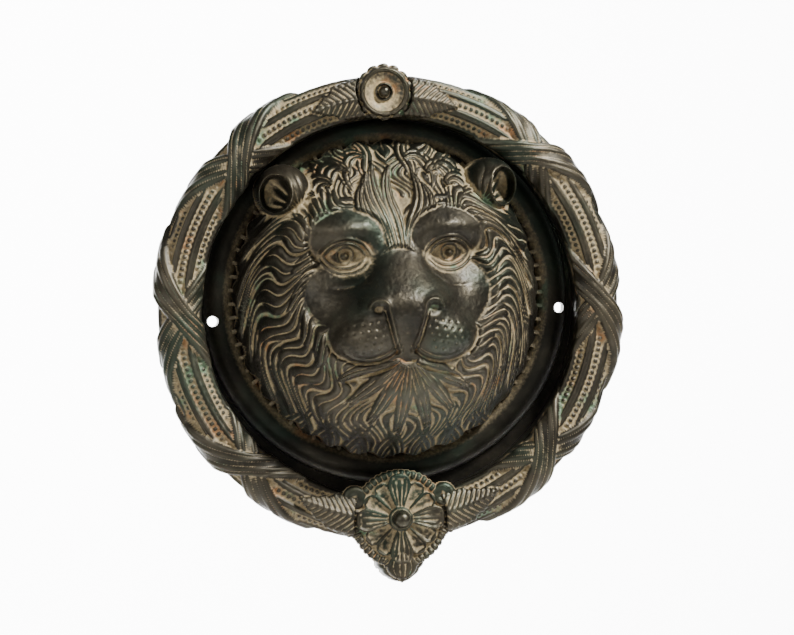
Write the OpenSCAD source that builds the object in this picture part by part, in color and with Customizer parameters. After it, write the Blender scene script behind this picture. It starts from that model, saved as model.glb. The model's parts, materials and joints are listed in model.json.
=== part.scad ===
// Lion-mask door knocker with a hinged wreath ring.
// The door is the plane y = 0, the front faces -Y and +Z is up. The origin is the centre of the
// backplate's rear face. Shapes are drawn flat, as x, up and out from the door, and on_door() stands
// them on the door.

/* [Mask] */
// Radius of the mane where it meets the backplate
mask_r = 64; // [56:1:76]
// How far the tip of the nose stands off the door
nose_out = 66; // [60:1:78]
// Wall thickness of the hollow mask casting
mask_wall = 4; // [3:0.5:5]
// Radius of the circle that the mask's screws stand on
mask_screw_circle_r = 38; // [32:1:42]

/* [Backplate] */
// Thickness of the backplate
plate_t = 4; // [3.5:0.5:6]
// Width of the raised moulding round the mask
moulding_w = 14; // [12:1:16]
// Height of the moulding above the backplate's face
moulding_h = 6.5; // [5:0.5:6.8]
// How far the backplate reaches behind the ring at its foot
plate_lap = 3.5; // [2:0.5:6]
// Radius of the holes for the door screws
door_hole_r = 2.25; // [1.5:0.05:3]
// Height of the door screw holes, below the centre
door_hole_drop = 7; // [0:1:12]

/* [Ring] */
// Gap between the moulding's outer edge and the ring's inner wall, to the sides
ring_gap = 1; // [0.5:0.5:4]
// Width of the ring's section
ring_w = 17.7; // [14:0.1:21.5]
// Depth of the ring's section, rear face to crown
ring_depth = 15; // [13:0.5:18]
// Distance from the door to the ring's rear face
ring_standoff = 10; // [10:0.5:14]
// How far the ring's centre hangs below the mask's centre
ring_drop = 4.2; // [2:0.1:5]
// Radius of the flutes in the crown
flute_r = 2.1; // [1:0.1:2.5]
// How far the ribbons stand above the ring
ribbon_rise = 2; // [1:0.5:3]
// Width of each ribbon
ribbon_w = 10; // [7:0.5:12]

/* [Rosette and flower] */
// Radius of the rosette at the ring's head
rosette_r = 12; // [10:0.5:13]
// Radius of the flower at the ring's foot
flower_r = 19.5; // [17:0.5:23]
// Distance from the flower's centre to the tip of its leaf
leaf_reach = 27.5; // [24:0.5:33]
// Radius of the domed nut in the flower
nut_r = 3.8; // [3:0.2:5]

/* [Hinge and striker] */
// Radius of the hinge pin
pin_r = 2.25; // [1.5:0.05:2.7]
// Radial clearance of the pin in the ring's lug
pin_clearance = 0.05; // [0.02:0.01:0.1]
// Wall of the lug and of the ears round the pin
knuckle_wall = 2.25; // [1.5:0.05:2.6]
// Width of the ring's lug along the pin
lug_w = 12; // [8:0.5:15]
// Width of each ear along the pin
ear_w = 6; // [4:0.5:8]
// Thickness of the hinge washers
washer_t = 0.6; // [0.4:0.1:1]
// Radius of the striker's face
striker_r = 7; // [5:0.5:8.5]
// Radius of the striker's shank
shank_r = 2.5; // [2:0.1:3]

/* [Hidden] */
$fn = 64;

METAL = "#3a332a";
DUSTY = "#8b7850";
GREEN = "#4d5a45";
LOOP = 360;            // a full turn, for the repeats
PASS = 1;              // how far a cut runs past the face it opens
FIT = 0.02;            // clearance of a fixed pin, screw or rivet
RUN = 0.15;            // side play beside the hinge washers
REST_GAP = 0.3;        // striker to boss with the ring hanging

// Backplate
moulding_in_r = mask_r + 1;
moulding_mid_r = moulding_in_r + moulding_w / 2;
ring_in_r = moulding_in_r + moulding_w + ring_gap;
plate_r = ring_in_r + ring_drop + plate_lap;
moulding_arc_r = (pow(moulding_w / 2, 2) + pow(moulding_h, 2)) / (2 * moulding_h);
door_hole_x = ring_in_r - 5.5;
ladder_count = 72;
ladder_tooth = 1.5;

// Ring
ring_mid_r = ring_in_r + ring_w / 2;
crown_r = ring_w * 0.54;
crown_out = ring_standoff + ring_depth;
seat_out = crown_out - 3;             // the faces that carry the rosette and the flower
flute_angles = [-38, 10, 55];
crossings = [0, 45, 135, 180, 225, 315];
ribbon_slope = 54;                    // angle between a ribbon and the ring's radius
back_channel_w = ring_w * 0.5;
back_channel_depth = ring_depth * 0.5;
solid_arc = 18;                       // half the arc left solid at the head and at the foot
rosette_up = ring_mid_r - ring_drop + 2.2;
flower_up = -ring_mid_r - ring_drop;
lobes = 12;
rivet_r = 1.5;
rivet_head_r = 2.4;
rivet_depth = 4.5;
bowl_floor = 2;                       // metal under the rosette's cup
bowl_r = 14.5;
flower_hub = 5.5;                     // height of the flower's hub, which carries the nut

// Hinge
knuckle_r = pin_r + knuckle_wall;
pin_up = rosette_up;
pin_out = ring_standoff / 2;
washer_x = lug_w / 2 + RUN;
ear_x = washer_x + washer_t;
ear_end = ear_x + ear_w;
pin_head_r = pin_r + 1.5;
pin_head_t = 1.5;
lug_room = 0.6;                       // all round the lug, in the plate's notch
pin_head_room = 0.4;

// Striker
boss_out = plate_t + 4;
tab_r = striker_r + 5;
tab_up = flower_up + 3;               // the foot tab's round end stands a little above the striker
shank_top = seat_out + flower_hub + 1.4;

// Mask screws
mask_screw_r = 2;
mask_screw_head_r = 4;
mask_screw_head_t = 2;
mask_screw_length = 12;
mask_boss_r = 5;
mask_boss_h = 28;                     // ends inside the mask's wall
mask_screw_angles = [90, 210, 330];

// ---------- helpers ----------

// Stands a flat drawing (x, up, out) on the door.
module on_door() rotate([90, 0, 0]) children();

// The ring's own centre, a little below the mask's.
module at_ring() translate([0, -ring_drop, 0]) children();

module both_sides() {
    children();
    mirror([1, 0, 0]) children();
}

// A pin or bore along X, from x0 over the length.
module along_x(x0, length, r, up, out)
    translate([x0, up, out]) rotate([0, 90, 0]) cylinder(r = r, h = length);

// A leaf's outline: two arcs that meet in points at both ends.
module leaf_outline(length, width) {
    arc_r = (length * length + width * width) / (4 * width);
    intersection() {
        translate([0, arc_r - width / 2]) circle(r = arc_r);
        translate([0, width / 2 - arc_r]) circle(r = arc_r);
    }
}

// A ball of the given radius at x, up, out.
module ball(x, up, out, r) translate([x, up, out]) sphere(r = r);

// A round bar between two heights, with rounded ends.
module blunt_bar(a, b, r) {
    run = b - a;
    reach = norm(run);
    tilt = acos(run[2] / reach);
    turn = atan2(run[1], run[0]);
    translate(a) sphere(r = r);
    translate(b) sphere(r = r);
    translate(a) rotate([0, tilt, turn]) cylinder(r = r, h = reach);
}

// ---------- backplate ----------

module plate_section() {
    square([plate_r, plate_t]);
    intersection() {
        translate([moulding_mid_r, plate_t + moulding_h - moulding_arc_r]) circle(r = moulding_arc_r);
        translate([moulding_in_r, plate_t / 2]) square([moulding_w, plate_t + moulding_h]);
    }
}

module moulding_channel() {
    channel_w = moulding_w - 3;
    translate([moulding_mid_r - channel_w / 2, -PASS]) square([channel_w, plate_t + PASS]);
}

// The toothed band on the inner slope of the moulding.
module ladder() {
    for (i = [0:ladder_count - 1])
        rotate(i * LOOP / ladder_count)
            translate([moulding_in_r - 0.5, -ladder_tooth / 2, plate_t - 1])
                cube([4, ladder_tooth, moulding_h - 0.5]);
}

module hinge_ear() {
    along_x(ear_x, ear_w, knuckle_r, pin_up, pin_out);
    translate([ear_x, moulding_in_r + moulding_w - 2, plate_t / 2])
        cube([ear_w, pin_up - moulding_in_r - moulding_w + 2, pin_out + knuckle_r - plate_t / 2 - 1]);
}

module backplate() color(METAL) on_door() difference() {
    union() {
        rotate_extrude() plate_section();
        ladder();
        both_sides() hinge_ear();
        linear_extrude(plate_t) translate([0, tab_up]) circle(r = tab_r);
        linear_extrude(plate_t) translate([-tab_r, tab_up])
            square([2 * tab_r, -flower_up - plate_r + tab_r]);
    }
    rotate_extrude() moulding_channel();
    along_x(-ear_end - PASS, 2 * (ear_end + PASS), pin_r + FIT, pin_up, pin_out);
    // room for the ring's lug between the ears
    along_x(-ear_x, 2 * ear_x, knuckle_r + lug_room, pin_up, pin_out);
    // room for the pin's ends outside the ears
    both_sides() along_x(ear_end, pin_head_t + PASS, pin_head_r + pin_head_room, pin_up, pin_out);
    both_sides() translate([door_hole_x, -door_hole_drop, -PASS])
        cylinder(r = door_hole_r, h = plate_t + moulding_h + 2 * PASS);
    translate([0, flower_up, -PASS]) cylinder(r = shank_r + FIT, h = plate_t + 2 * PASS);
    for (a = mask_screw_angles)
        rotate(a) translate([mask_screw_circle_r, 0, 0]) {
            translate([0, 0, -PASS]) cylinder(r = mask_screw_r + FIT, h = plate_t + 2 * PASS);
            translate([0, 0, -FIT])
                cylinder(r1 = mask_screw_head_r + 2 * FIT, r2 = mask_screw_r, h = mask_screw_head_t + 2 * FIT);
        }
}

// ---------- mask ----------

// The domed mass of the mane.
module mane_dome() rotate_extrude() polygon([
    [0, plate_t],
    [mask_r, plate_t],
    [mask_r, plate_t + 8],
    [mask_r - 6, plate_t + 20],
    [mask_r - 20, plate_t + 30],
    [0, plate_t + 33],
]);

// The hollow of the casting, one wall inside the mane and the head.
module mask_cavity() rotate_extrude() polygon([
    [0, plate_t - PASS],
    [mask_r - mask_wall, plate_t - PASS],
    [mask_r - mask_wall, plate_t + 8],
    [mask_r - 6 - mask_wall, plate_t + 19 - mask_wall],
    [mask_r - 20 - mask_wall, plate_t + 29 - mask_wall],
    [26, plate_t + 31 - mask_wall],
    [14, nose_out - 21 - mask_wall],
    [0, nose_out - 19 - mask_wall],
]);

module mane_locks() {
    rows = [[20, mask_r - 9, 15, 8.5], [16, mask_r - 21, 24, 10]];
    for (row = rows)
        for (i = [0:row[0] - 1])
            rotate((i + 0.5) * LOOP / row[0])
                ball(row[1], 0, plate_t + row[2] - row[3] + 6, row[3]);
}

module head() {
    ball(0, 6, plate_t + 4, nose_out - 24);
    ball(0, -32, nose_out - 36, 14);
    blunt_bar([0, 26, nose_out - 27], [0, 4, nose_out - 11.5], 9.5);
    ball(0, 2, nose_out - 11, 11);
    both_sides() {
        ball(17, 23, nose_out - 29, 12);
        ball(23, 15, nose_out - 25, 5.5);
        ball(12, -13, nose_out - 23, 17);
        ball(30, -6, nose_out - 36, 15);
    }
}

module ears() both_sides() difference() {
    ball(41, 45, plate_t + 22, 12);
    ball(44, 46, plate_t + 32, 9);
}

module mask_bosses() for (a = mask_screw_angles)
    rotate(a) translate([mask_screw_circle_r, 0, plate_t]) cylinder(r = mask_boss_r, h = mask_boss_h);

module mask_casting() difference() {
    union() {
        mane_dome();
        mane_locks();
        head();
        ears();
    }
    mask_cavity();
    // nothing of the head stays below the backplate's face
    translate([-2 * mask_r, -2 * mask_r, plate_t - 2 * mask_r]) cube([4 * mask_r, 4 * mask_r, 2 * mask_r]);
}

module lion_mask() color(METAL) on_door() difference() {
    union() {
        mask_casting();
        mask_bosses();
    }
    for (a = mask_screw_angles)
        rotate(a) translate([mask_screw_circle_r, 0, plate_t - PASS])
            cylinder(r = mask_screw_r + FIT, h = mask_screw_length - plate_t + 2 * PASS);
}

module mask_screws() color("silver") on_door() for (a = mask_screw_angles)
    rotate(a) translate([mask_screw_circle_r, 0, 0]) difference() {
        union() {
            cylinder(r1 = mask_screw_head_r, r2 = mask_screw_r, h = mask_screw_head_t);
            cylinder(r = mask_screw_r, h = mask_screw_length);
        }
        translate([-mask_screw_head_r, -0.5, -PASS]) cube([2 * mask_screw_head_r, 1, PASS + 0.8]);
    }

// ---------- ring ----------

// The half-round section. What lies on top of it has an even rise, and starts clear of the rear edge.
module ring_section(rise = 0) intersection() {
    translate([ring_mid_r, crown_out - crown_r]) circle(r = crown_r + rise);
    translate([ring_in_r - rise / 4, ring_standoff + rise * 1.5]) square([ring_w + rise * 1.6, ring_depth]);
}

module flutes() for (a = flute_angles)
    translate([ring_mid_r + crown_r * sin(a), crown_out - crown_r + crown_r * cos(a)]) circle(r = flute_r);

module ribbons() intersection() {
    rotate_extrude() ring_section(ribbon_rise);
    translate([0, 0, ring_standoff - PASS]) linear_extrude(ring_depth + ribbon_rise + 2 * PASS)
        for (a = crossings)
            rotate(a) translate([ring_mid_r, 0])
                for (way = [-1, 1])
                    rotate(way * ribbon_slope) square([3 * ring_w, ribbon_w], center = true);
}

// The husk leaves that lie along the ring beside the rosette and beside the flower.
module husk_leaves() intersection() {
    rotate_extrude() ring_section(ribbon_rise);
    translate([0, 0, ring_standoff - PASS]) linear_extrude(ring_depth + ribbon_rise + 2 * PASS)
        for (row = [[1, 11, 30, 14], [-1, 15, 46, 18]], side = [-1, 1])
            rotate(row[0] * 90 + side * row[1]) translate([ring_mid_r, 0])
                rotate(90) leaf_outline(row[2], row[3]);
}

module back_channel() for (start = [-90 + solid_arc, 90 + solid_arc])
    rotate([0, 0, start]) rotate_extrude(angle = 180 - 2 * solid_arc)
        translate([ring_mid_r - back_channel_w / 2, ring_standoff - PASS])
            square([back_channel_w, back_channel_depth + PASS]);

module hinge_lug() {
    along_x(-lug_w / 2, lug_w, knuckle_r, pin_up, pin_out);
    translate([-lug_w / 2, pin_up - knuckle_r, pin_out])
        cube([lug_w, 2 * knuckle_r, ring_standoff - pin_out + PASS]);
}

// The pointed lifting leaf under the flower.
module tip_leaf() translate([0, flower_up, ring_standoff + 3]) linear_extrude(seat_out - ring_standoff - 3)
    translate([0, -leaf_reach / 2]) rotate(90) leaf_outline(leaf_reach, leaf_reach * 0.85);

module wreath_ring() color(METAL) on_door() difference() {
    union() {
        at_ring() difference() {
            rotate_extrude() ring_section();
            rotate_extrude() flutes();
        }
        at_ring() ribbons();
        at_ring() husk_leaves();
        translate([0, rosette_up, seat_out - 6]) cylinder(r = rosette_r - 1, h = 6);
        translate([0, flower_up, ring_standoff]) cylinder(r = flower_r - 4, h = seat_out - ring_standoff);
        tip_leaf();
        hinge_lug();
    }
    at_ring() back_channel();
    along_x(-lug_w, 2 * lug_w, pin_r + pin_clearance, pin_up, pin_out);
    // flat seats for the rosette and the flower
    translate([0, rosette_up, seat_out]) cylinder(r = rosette_r + 1, h = ring_depth);
    translate([0, flower_up, seat_out]) cylinder(r = flower_r + 7, h = ring_depth);
    translate([-leaf_reach / 2, flower_up - leaf_reach - PASS, seat_out])
        cube([leaf_reach, leaf_reach, ring_depth]);
    // rivet hole and shank hole
    translate([0, rosette_up, seat_out - rivet_depth - 0.2]) cylinder(r = rivet_r + FIT, h = rivet_depth + PASS);
    translate([0, flower_up, ring_standoff - PASS]) cylinder(r = shank_r + FIT, h = ring_depth);
}

// ---------- rosette and flower ----------

module top_rosette() color(DUSTY) on_door() translate([0, rosette_up, seat_out]) difference() {
    union() {
        cylinder(r = rosette_r - 1.5, h = 4.5);
        for (i = [0:lobes - 1])
            rotate(i * LOOP / lobes) translate([rosette_r - 2.2, 0, 0]) cylinder(r = 2.2, h = 3.8);
    }
    // the bowl is a shallow spherical cup
    ball(0, 0, bowl_floor + bowl_r, bowl_r);
    translate([0, 0, -PASS]) cylinder(r = rivet_r + FIT, h = 4);
}

module rosette_rivet() color(METAL) on_door() translate([0, rosette_up, seat_out]) {
    translate([0, 0, -rivet_depth]) cylinder(r = rivet_r, h = rivet_depth + bowl_floor + 1);
    intersection() {
        ball(0, 0, bowl_floor + 1, rivet_head_r);
        translate([0, 0, bowl_floor + 0.3]) cylinder(r = rivet_head_r + 1, h = 2 * rivet_head_r);
    }
}

module petals() {
    for (i = [0:3])
        rotate(i * 90) translate([flower_r / 2 + 1, 0, 2])
            linear_extrude(3.5) leaf_outline(flower_r - 1, 7.5);
    for (i = [0:3], side = [-1, 1])
        rotate(45 + i * 90 + side * 15) translate([flower_r * 0.64, 0, 2]) difference() {
            cylinder(r = 4.1, h = 3);
            ball(0, 0, 4.4, 3.2);
        }
}

module bottom_flower() color(GREEN) on_door() translate([0, flower_up, seat_out]) difference() {
    union() {
        cylinder(r = flower_r, h = 2.5);
        both_sides() translate([flower_r - 0.5, 10.5, 0]) cylinder(r = 4.5, h = 3.5);
        translate([0, -leaf_reach / 2, 0]) linear_extrude(3) rotate(90)
            leaf_outline(leaf_reach, leaf_reach * 0.8);
        petals();
        cylinder(r = nut_r + 1.4, h = flower_hub);
    }
    translate([0, 0, -PASS]) cylinder(r = shank_r + FIT, h = 8);
}

module flower_nut() color(METAL) on_door() translate([0, flower_up, seat_out + flower_hub]) difference() {
    union() {
        cylinder(r = nut_r, h = 1.2);
        intersection() {
            ball(0, 0, 1.2, nut_r - 0.3);
            cylinder(r = nut_r, h = 2 * nut_r);
        }
    }
    translate([0, 0, -PASS]) cylinder(r = shank_r + FIT, h = PASS + 1.6);
}

// ---------- striker and hinge fittings ----------

module striker() color("dimgray") on_door() translate([0, flower_up, 0]) {
    translate([0, 0, boss_out + REST_GAP])
        cylinder(r = striker_r, h = ring_standoff - boss_out - REST_GAP);
    translate([0, 0, ring_standoff - PASS]) cylinder(r = shank_r, h = shank_top - ring_standoff + PASS);
}

module strike_boss() color("dimgray") on_door() translate([0, flower_up, 0]) {
    translate([0, 0, plate_t]) cylinder(r = striker_r, h = boss_out - plate_t);
    cylinder(r = shank_r, h = plate_t + PASS);
}

module hinge_pin() color("silver") on_door() {
    along_x(-ear_end - pin_head_t, ear_end + pin_head_t, pin_r, pin_up, pin_out);
    along_x(0, ear_end + pin_head_t / 2, pin_r, pin_up, pin_out);
    along_x(-ear_end - pin_head_t, pin_head_t, pin_head_r, pin_up, pin_out);
    along_x(ear_end, pin_head_t / 2, pin_r + 0.7, pin_up, pin_out);
}

module hinge_washers() color("silver") on_door() both_sides() difference() {
    along_x(washer_x, washer_t, knuckle_r, pin_up, pin_out);
    along_x(washer_x - PASS, washer_t + 2 * PASS, pin_r + FIT, pin_up, pin_out);
}

backplate();
lion_mask();
mask_screws();
strike_boss();
hinge_pin();
hinge_washers();
wreath_ring();
top_rosette();
rosette_rivet();
bottom_flower();
flower_nut();
striker();
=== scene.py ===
import json
import math

import bpy
import numpy as np
from mathutils import Matrix, Vector


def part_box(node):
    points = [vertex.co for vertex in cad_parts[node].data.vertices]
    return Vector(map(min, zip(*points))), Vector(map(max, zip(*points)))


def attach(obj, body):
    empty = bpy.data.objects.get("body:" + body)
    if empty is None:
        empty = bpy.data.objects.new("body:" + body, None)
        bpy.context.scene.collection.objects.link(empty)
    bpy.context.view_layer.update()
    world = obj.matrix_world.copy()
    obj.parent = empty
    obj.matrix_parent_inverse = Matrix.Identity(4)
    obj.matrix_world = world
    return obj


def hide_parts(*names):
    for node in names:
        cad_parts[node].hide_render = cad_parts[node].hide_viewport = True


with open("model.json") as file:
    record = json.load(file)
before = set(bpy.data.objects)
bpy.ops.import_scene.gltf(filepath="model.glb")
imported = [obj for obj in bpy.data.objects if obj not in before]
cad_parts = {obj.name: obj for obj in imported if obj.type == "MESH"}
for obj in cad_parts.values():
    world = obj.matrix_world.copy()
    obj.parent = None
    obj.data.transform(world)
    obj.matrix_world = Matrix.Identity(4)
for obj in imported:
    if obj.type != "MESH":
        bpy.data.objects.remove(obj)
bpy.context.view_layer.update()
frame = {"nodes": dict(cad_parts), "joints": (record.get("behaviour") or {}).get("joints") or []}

# Shapes below are worked out in millimetres on the door: x to the right, up, and out from the door.
# A point (x, up, out) there is (x, -out, up) / 1000 in the row frame, in metres.
MM = 0.001


# ---------- places, taken from the CAD model ----------

def middle_up(node):
    low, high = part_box(node)
    return (low.z + high.z) / 2 / MM


def front_out(node):
    return -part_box(node)[0].y / MM


HINGE = Vector(frame["joints"][0]["pos_m"]) / MM
HINGE_UP = HINGE.z
HINGE_OUT = -HINGE.y
FLOWER_UP = middle_up("flower_nut")
ROSETTE_UP = middle_up("rosette_rivet")
PLATE_T = -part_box("lion_mask")[1].y / MM
NOSE_OUT = front_out("lion_mask")
MASK_R = 64.0
# the flower's centre lies on the ring's middle line, and the rosette's this far above it
ROSETTE_RISE = 2.2
RING_MID_R = (ROSETTE_UP - ROSETTE_RISE - FLOWER_UP) / 2
RING_UP = ROSETTE_UP - ROSETTE_RISE - RING_MID_R
RING_BACK = 10.0
RING_DEPTH = 15.0
RING_W = 17.7
# the ring's crown is cut down flat under the rosette and the flower
SEAT_OUT = RING_BACK + RING_DEPTH - 3
ROSETTE_SEAT_R = 12.2
FLOWER_SEAT_R = 20
SHANK_HOLE_R = 2.6
LEAF_BACK = RING_BACK + 3
# how far a sculpted surface stands above its base at the least, away from its rim
LEAST_RISE = 0.05


# ---------- arrays ----------

def ease(a, b, x):
    """0 below a, 1 above b and smooth between. With b under a it falls instead."""
    t = np.clip((x - a) / (b - a), 0, 1)
    return t * t * (3 - 2 * t)


def bump(x, width):
    return np.exp(-(x / width) ** 2)


def blend_max(a, b, k):
    """The higher of two surfaces, rounded over k where they meet."""
    h = np.clip(0.5 + 0.5 * (a - b) / k, 0, 1)
    return b * (1 - h) + a * h + k * h * (1 - h)


def blur(field, sigma, wrap=(False, False)):
    """Gaussian blur by sigma cells, one number or one for each axis."""
    sigmas = sigma if isinstance(sigma, tuple) else (sigma, sigma)
    for axis in (0, 1):
        reach = max(1, int(3 * sigmas[axis] + 0.5))
        k = np.exp(-0.5 * (np.arange(-reach, reach + 1) / max(sigmas[axis], 1e-6)) ** 2)
        k /= k.sum()
        pad = [(0, 0), (0, 0)]
        pad[axis] = (reach, reach)
        wide = np.pad(field, pad, mode="wrap" if wrap[axis] else "edge")
        out = np.zeros_like(field)
        n = field.shape[axis]
        for i, w in enumerate(k):
            out += w * (wide[i:i + n, :] if axis == 0 else wide[:, i:i + n])
        field = out
    return field


def value_noise(x, y, size, seed):
    """Smooth noise from -1 to 1 with features about size across."""
    cells = 64
    table = np.random.default_rng(seed).uniform(-1, 1, (cells, cells))
    gx, gy = x / size, y / size
    ix, iy = np.floor(gx).astype(int), np.floor(gy).astype(int)
    fx, fy = gx - ix, gy - iy
    fx, fy = fx * fx * (3 - 2 * fx), fy * fy * (3 - 2 * fy)
    x0, x1, y0, y1 = ix % cells, (ix + 1) % cells, iy % cells, (iy + 1) % cells
    a = table[x0, y0] * (1 - fx) + table[x1, y0] * fx
    b = table[x0, y1] * (1 - fx) + table[x1, y1] * fx
    return a * (1 - fy) + b * fy


# ---------- meshes ----------

def new_mesh(name, points, quads, fields, tris=None):
    """A smooth-shaded mesh from points in door millimetres, with named vertex fields."""
    mesh = bpy.data.meshes.new(name)
    points = np.asarray(points, float)
    co = np.stack([points[:, 0], -points[:, 2], points[:, 1]], 1) * MM
    quads = np.asarray(quads, np.int32)
    tris = np.zeros((0, 3), np.int32) if tris is None else np.asarray(tris, np.int32)
    corners = np.concatenate([quads.ravel(), tris.ravel()])
    starts = np.concatenate([np.arange(len(quads)) * 4, quads.size + np.arange(len(tris)) * 3])
    totals = np.concatenate([np.full(len(quads), 4), np.full(len(tris), 3)])
    mesh.vertices.add(len(co))
    mesh.vertices.foreach_set("co", co.astype(np.float32).ravel())
    mesh.loops.add(len(corners))
    mesh.loops.foreach_set("vertex_index", corners.astype(np.int32))
    mesh.polygons.add(len(starts))
    mesh.polygons.foreach_set("loop_start", starts.astype(np.int32))
    mesh.polygons.foreach_set("loop_total", totals.astype(np.int32))
    mesh.polygons.foreach_set("use_smooth", np.ones(len(starts), bool))
    mesh.update()
    mesh.validate()
    for key, values in fields.items():
        mesh.attributes.new(key, "FLOAT", "POINT").data.foreach_set("value", values.astype(np.float32).ravel())
    obj = bpy.data.objects.new(name, mesh)
    bpy.context.scene.collection.objects.link(obj)
    return obj


def relief_fields(height, steps, wrap=(False, False)):
    """How hollow and how crested a relief is, 0 to 1, from its curvature. Steps are the grid's, in millimetres."""
    pads = [(2, 2) if w else (0, 0) for w in wrap]
    wide = np.pad(height, pads, mode="wrap")
    du, dv = np.gradient(wide, *steps)
    size = np.sqrt(1 + du * du + dv * dv)
    curve = -(np.gradient(du / size, steps[0], axis=0) + np.gradient(dv / size, steps[1], axis=1))
    curve = curve[tuple(slice(p[0], -p[1] or None) for p in pads)]
    fine = blur(curve, (0.2 / steps[0], 0.2 / steps[1]), wrap)
    wide = blur(curve, (1.2 / steps[0], 1.2 / steps[1]), wrap)
    deep = blur(height, (2.2 / steps[0], 2.2 / steps[1]), wrap) - height
    hollow = np.clip(-fine * 0.8, 0, 1) * 0.6 + np.clip(-wide * 2.0, 0, 1) * 0.35 + np.clip(deep * 0.4, 0, 0.5)
    crest = np.clip(fine * 0.7, 0, 1) * 0.6 + np.clip(wide * 2.0, 0, 1) * 0.5
    return np.clip(hollow, 0, 1), np.clip(crest, 0, 1)


def relief_solid(name, xs, ups, height, base, fields, holed=False):
    """Closes a height field into a solid that stands on a base. Cells at the base are left out."""
    nx, nz = height.shape
    above = height > base + 1e-4
    cell = above[:-1, :-1] | above[1:, :-1] | above[:-1, 1:] | above[1:, 1:]
    # cells that meet only at a corner are joined
    for _ in range(3):
        a, b, c, d = cell[:-1, :-1], cell[1:, 1:], cell[1:, :-1], cell[:-1, 1:]
        bad = (a & b & ~c & ~d) | (c & d & ~a & ~b)
        for i in (0, 1):
            for j in (0, 1):
                cell[i:nx - 2 + i, j:nz - 2 + j] |= bad
    kept = np.zeros((nx, nz), int)
    for i in (0, 1):
        for j in (0, 1):
            kept[i:nx - 1 + i, j:nz - 1 + j] += cell
    # the rim of the kept cells lies on the base
    rim = (kept > 0) & (kept < 4)
    top = np.where(rim, base, np.maximum(height, base + LEAST_RISE))
    used = kept > 0
    index = np.full((nx, nz), -1)
    index[used] = np.arange(used.sum())
    X, Z = np.meshgrid(xs, ups, indexing="ij")
    front = np.stack([X[used], Z[used], top[used]], 1)
    i, j = np.nonzero(cell)
    quads = np.stack([index[i, j], index[i + 1, j], index[i + 1, j + 1], index[i, j + 1]], 1)
    sides = np.stack([quads, np.roll(quads, -1, 1)], -1).reshape(-1, 2)
    key = sides.min(1) * len(front) + sides.max(1)
    _, first, count = np.unique(key, return_index=True, return_counts=True)
    a, b = sides[first[count == 1]].T
    n = len(front)
    if holed:
        # the underside repeats the grid below a low wall, so that the hole stays open
        back = front.copy()
        back[:, 2] = np.broadcast_to(base, height.shape)[used]
        front[:, 2] = np.maximum(front[:, 2], back[:, 2] + LEAST_RISE)
        quads = np.concatenate([quads, quads[:, ::-1] + n, np.stack([b, a, a + n, b + n], 1)])
        tris = None
    else:
        # the underside is a fan from the rim's edges to its middle
        back = np.array([[front[a, 0].mean(), front[a, 1].mean(), np.min(base)]])
        tris = np.stack([b, a, np.full(len(a), n)], 1)
    carried = {k: np.concatenate([v[used], np.full(len(back), 0.3)]) for k, v in fields.items()}
    return new_mesh(name, np.concatenate([front, back]), quads, carried, tris)


def loop_solid(name, points, fields):
    """A closed solid from sections (n, m, 3) that go round, each itself a closed loop."""
    n, m = points.shape[:2]
    i, j = np.meshgrid(np.arange(n), np.arange(m), indexing="ij")
    i2, j2 = (i + 1) % n, (j + 1) % m
    quads = np.stack([i * m + j, i2 * m + j, i2 * m + j2, i * m + j2], -1).reshape(-1, 4)
    return new_mesh(name, points.reshape(-1, 3), quads, {k: v.ravel() for k, v in fields.items()})


# ---------- materials ----------

def node(tree, kind, **values):
    made = tree.nodes.new(kind)
    for key, value in values.items():
        if key in made.inputs:
            made.inputs[key].default_value = value
        else:
            setattr(made, key, value)
    return made


def join(tree, a, b):
    tree.links.new(a, b)


def ramp(tree, source, low, high):
    """source mapped smoothly from low..high to 0..1."""
    made = node(tree, "ShaderNodeMapRange", interpolation_type="SMOOTHSTEP")
    made.inputs["From Min"].default_value = low
    made.inputs["From Max"].default_value = high
    join(tree, source, made.inputs["Value"])
    return made.outputs["Result"]


def calc(tree, operation, a, b):
    made = node(tree, "ShaderNodeMath", operation=operation)
    for slot_index, value in enumerate((a, b)):
        if isinstance(value, (int, float)):
            made.inputs[slot_index].default_value = value
        else:
            join(tree, value, made.inputs[slot_index])
    return made.outputs[0]


def mix_colour(tree, factor, a, b):
    made = node(tree, "ShaderNodeMix", data_type="RGBA")
    if isinstance(factor, (int, float)):
        made.inputs[0].default_value = factor
    else:
        join(tree, factor, made.inputs[0])
    for slot_index, value in ((6, a), (7, b)):
        if isinstance(value, tuple):
            made.inputs[slot_index].default_value = (*value, 1)
        else:
            join(tree, value, made.inputs[slot_index])
    return made.outputs[2]


def noise(tree, place, scale, detail=4.0, offset=0.0):
    shift = node(tree, "ShaderNodeVectorMath", operation="ADD")
    join(tree, place, shift.inputs[0])
    shift.inputs[1].default_value = (offset, offset * 0.7, -offset)
    made = node(tree, "ShaderNodeTexNoise", Scale=scale, Detail=detail, Roughness=0.6)
    join(tree, shift.outputs[0], made.inputs["Vector"])
    return made.outputs["Fac"]


def round_dust(tree, place):
    """Dust on the backplate: in a band on its front beside the mask, and at its edge. Radii are in metres."""
    flat = node(tree, "ShaderNodeVectorMath", operation="MULTIPLY")
    join(tree, place, flat.inputs[0])
    flat.inputs[1].default_value = (1, 0, 1)
    radius = node(tree, "ShaderNodeVectorMath", operation="LENGTH")
    join(tree, flat.outputs[0], radius.inputs[0])
    radius = radius.outputs["Value"]
    band = calc(tree, "MULTIPLY", ramp(tree, radius, 0.0725, 0.0680), ramp(tree, radius, 0.0625, 0.0650))
    band = calc(tree, "MULTIPLY", band, 0.5)
    # the band stays off the rear face
    split = node(tree, "ShaderNodeSeparateXYZ")
    join(tree, place, split.inputs[0])
    band = calc(tree, "MULTIPLY", band, ramp(tree, split.outputs["Y"], -0.0015, -0.0035))
    outer = calc(tree, "MULTIPLY", ramp(tree, radius, 0.0770, 0.0800), 0.22)
    return calc(tree, "MAXIMUM", band, outer)


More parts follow.
